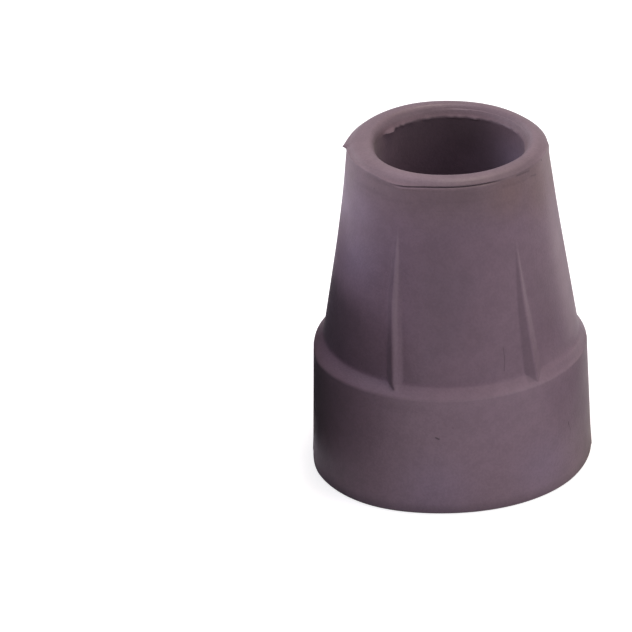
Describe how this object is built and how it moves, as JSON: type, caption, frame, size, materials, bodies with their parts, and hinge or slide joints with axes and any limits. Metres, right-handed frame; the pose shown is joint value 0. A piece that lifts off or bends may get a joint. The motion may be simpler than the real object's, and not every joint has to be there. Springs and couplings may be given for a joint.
{
  "type": "rubber cane tip",
  "caption": "One-piece moulded rubber foot for a walking cane: tapered body with gusset ribs and a collar, blind round socket on top, ring-grooved tread below.",
  "frame": {"origin": "centre of the tread's face, on the socket's axis", "axes": "+Z along the axis, out of the socket's mouth; -Y towards the front, between the front pair of ribs"},
  "size_m": [0.0362, 0.0362, 0.0442],
  "materials": {
    "rubber": "matte moulded rubber, mauve grey"
  },
  "bodies": {
    "root": {"ferrule": "rubber"}
  },
  "joints": []
}
